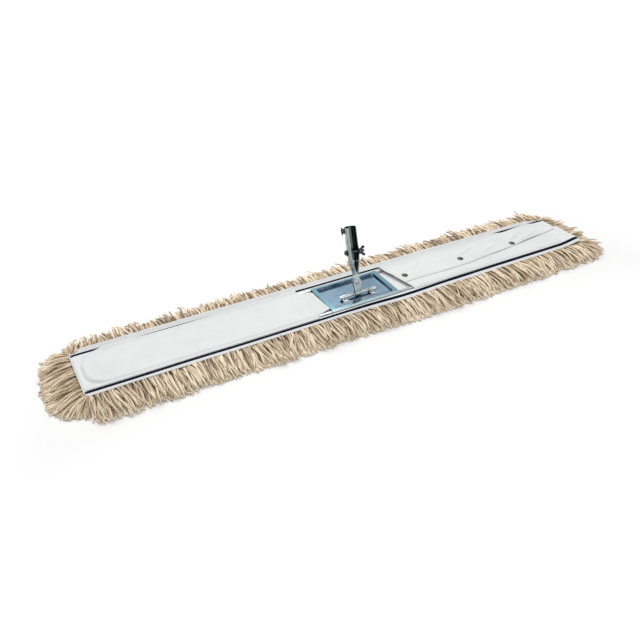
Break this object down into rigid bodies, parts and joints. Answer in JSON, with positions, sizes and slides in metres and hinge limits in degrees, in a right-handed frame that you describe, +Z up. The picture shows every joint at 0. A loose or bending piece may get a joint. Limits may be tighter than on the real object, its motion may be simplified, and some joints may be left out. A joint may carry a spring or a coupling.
{
  "type": "flat dust mop",
  "caption": "Long flat dust mop: yarn-fringed canvas cover with pocket and snapped flaps on a wire frame, with a sheet-steel middle plate and a swivelling handle socket.",
  "frame": {"origin": "on the floor under the middle of the mop", "axes": "+X along the mop towards the snapped flaps, +Y to the back, +Z up"},
  "size_m": [1.2152, 0.2498, 0.1556],
  "materials": {
    "canvas": "white cotton drill",
    "stripe": "navy woven tape",
    "yarn": "natural cotton yarn",
    "snap_metal": "antique dark plating",
    "bright_wire": "bright plated",
    "blue_zinc": "glossy blue zinc plate",
    "grey_zinc": "zinc plated sheet",
    "dark_steel": "dark fastener steel"
  },
  "bodies": {
    "mop": {"backing_canvas": "canvas", "edge_stripes": "stripe", "left_pocket": "canvas", "front_fringe": "yarn", "back_fringe": "yarn", "left_fringe": "yarn", "right_fringe": "yarn", "sole_yarn": "yarn", "left_wire": "bright_wire", "right_wire": "bright_wire", "middle_plate": "blue_zinc", "left_saddle": "bright_wire", "right_saddle": "bright_wire", "saddle_rivets": "bright_wire", "pivot_rod": "bright_wire"},
    "back_flap": {"back_flap": "canvas", "snap_caps": "snap_metal", "snap_sockets": "snap_metal"},
    "front_flap": {"front_flap": "canvas", "snap_studs": "snap_metal", "snap_posts": "snap_metal"},
    "yoke": {"yoke": "grey_zinc", "knuckle_rivet": "grey_zinc"},
    "socket": {"handle_socket": "grey_zinc", "clamp_bolt": "dark_steel", "bolt_washers": "dark_steel", "weld_nut": "dark_steel"},
    "wing_nut": {"wing_nut": "dark_steel"},
    "thumb_screw": {"thumb_screw": "dark_steel"}
  },
  "joints": [
    {"name": "yoke_tilt", "type": "hinge", "parent": "mop", "child": "yoke", "pos_m": [0, -0.013, 0.0225], "axis": [1, 0, 0], "range_deg": [-45, 75]},
    {"name": "socket_swing", "type": "hinge", "parent": "yoke", "child": "socket", "pos_m": [0, -0.00679, 0.04568], "axis": [0, 0.9659, -0.2588], "range_deg": [-68, 68]},
    {"name": "wing_nut_turn", "type": "hinge", "parent": "socket", "child": "wing_nut", "pos_m": [0, 0.009, 0.1046], "axis": [0.9397, -0.3304, 0.0885], "continuous": true},
    {"name": "thumb_screw_turn", "type": "hinge", "parent": "socket", "child": "thumb_screw", "pos_m": [0, 0.02039, 0.1471], "axis": [-0.9397, 0.3304, -0.0885], "continuous": true},
    {"name": "back_flap_open", "type": "hinge", "parent": "mop", "child": "back_flap", "pos_m": [0.32, 0.0521, 0.0203], "axis": [-1, 0, 0], "range_deg": [0, 100]},
    {"name": "front_flap_open", "type": "hinge", "parent": "mop", "child": "front_flap", "pos_m": [0.32, -0.0508, 0.0203], "axis": [1, 0, 0], "range_deg": [0, 60]}
  ],
  "couplings": [
    {"joint": "front_flap_open", "follows": "back_flap_open", "ratio": 0.6}
  ]
}
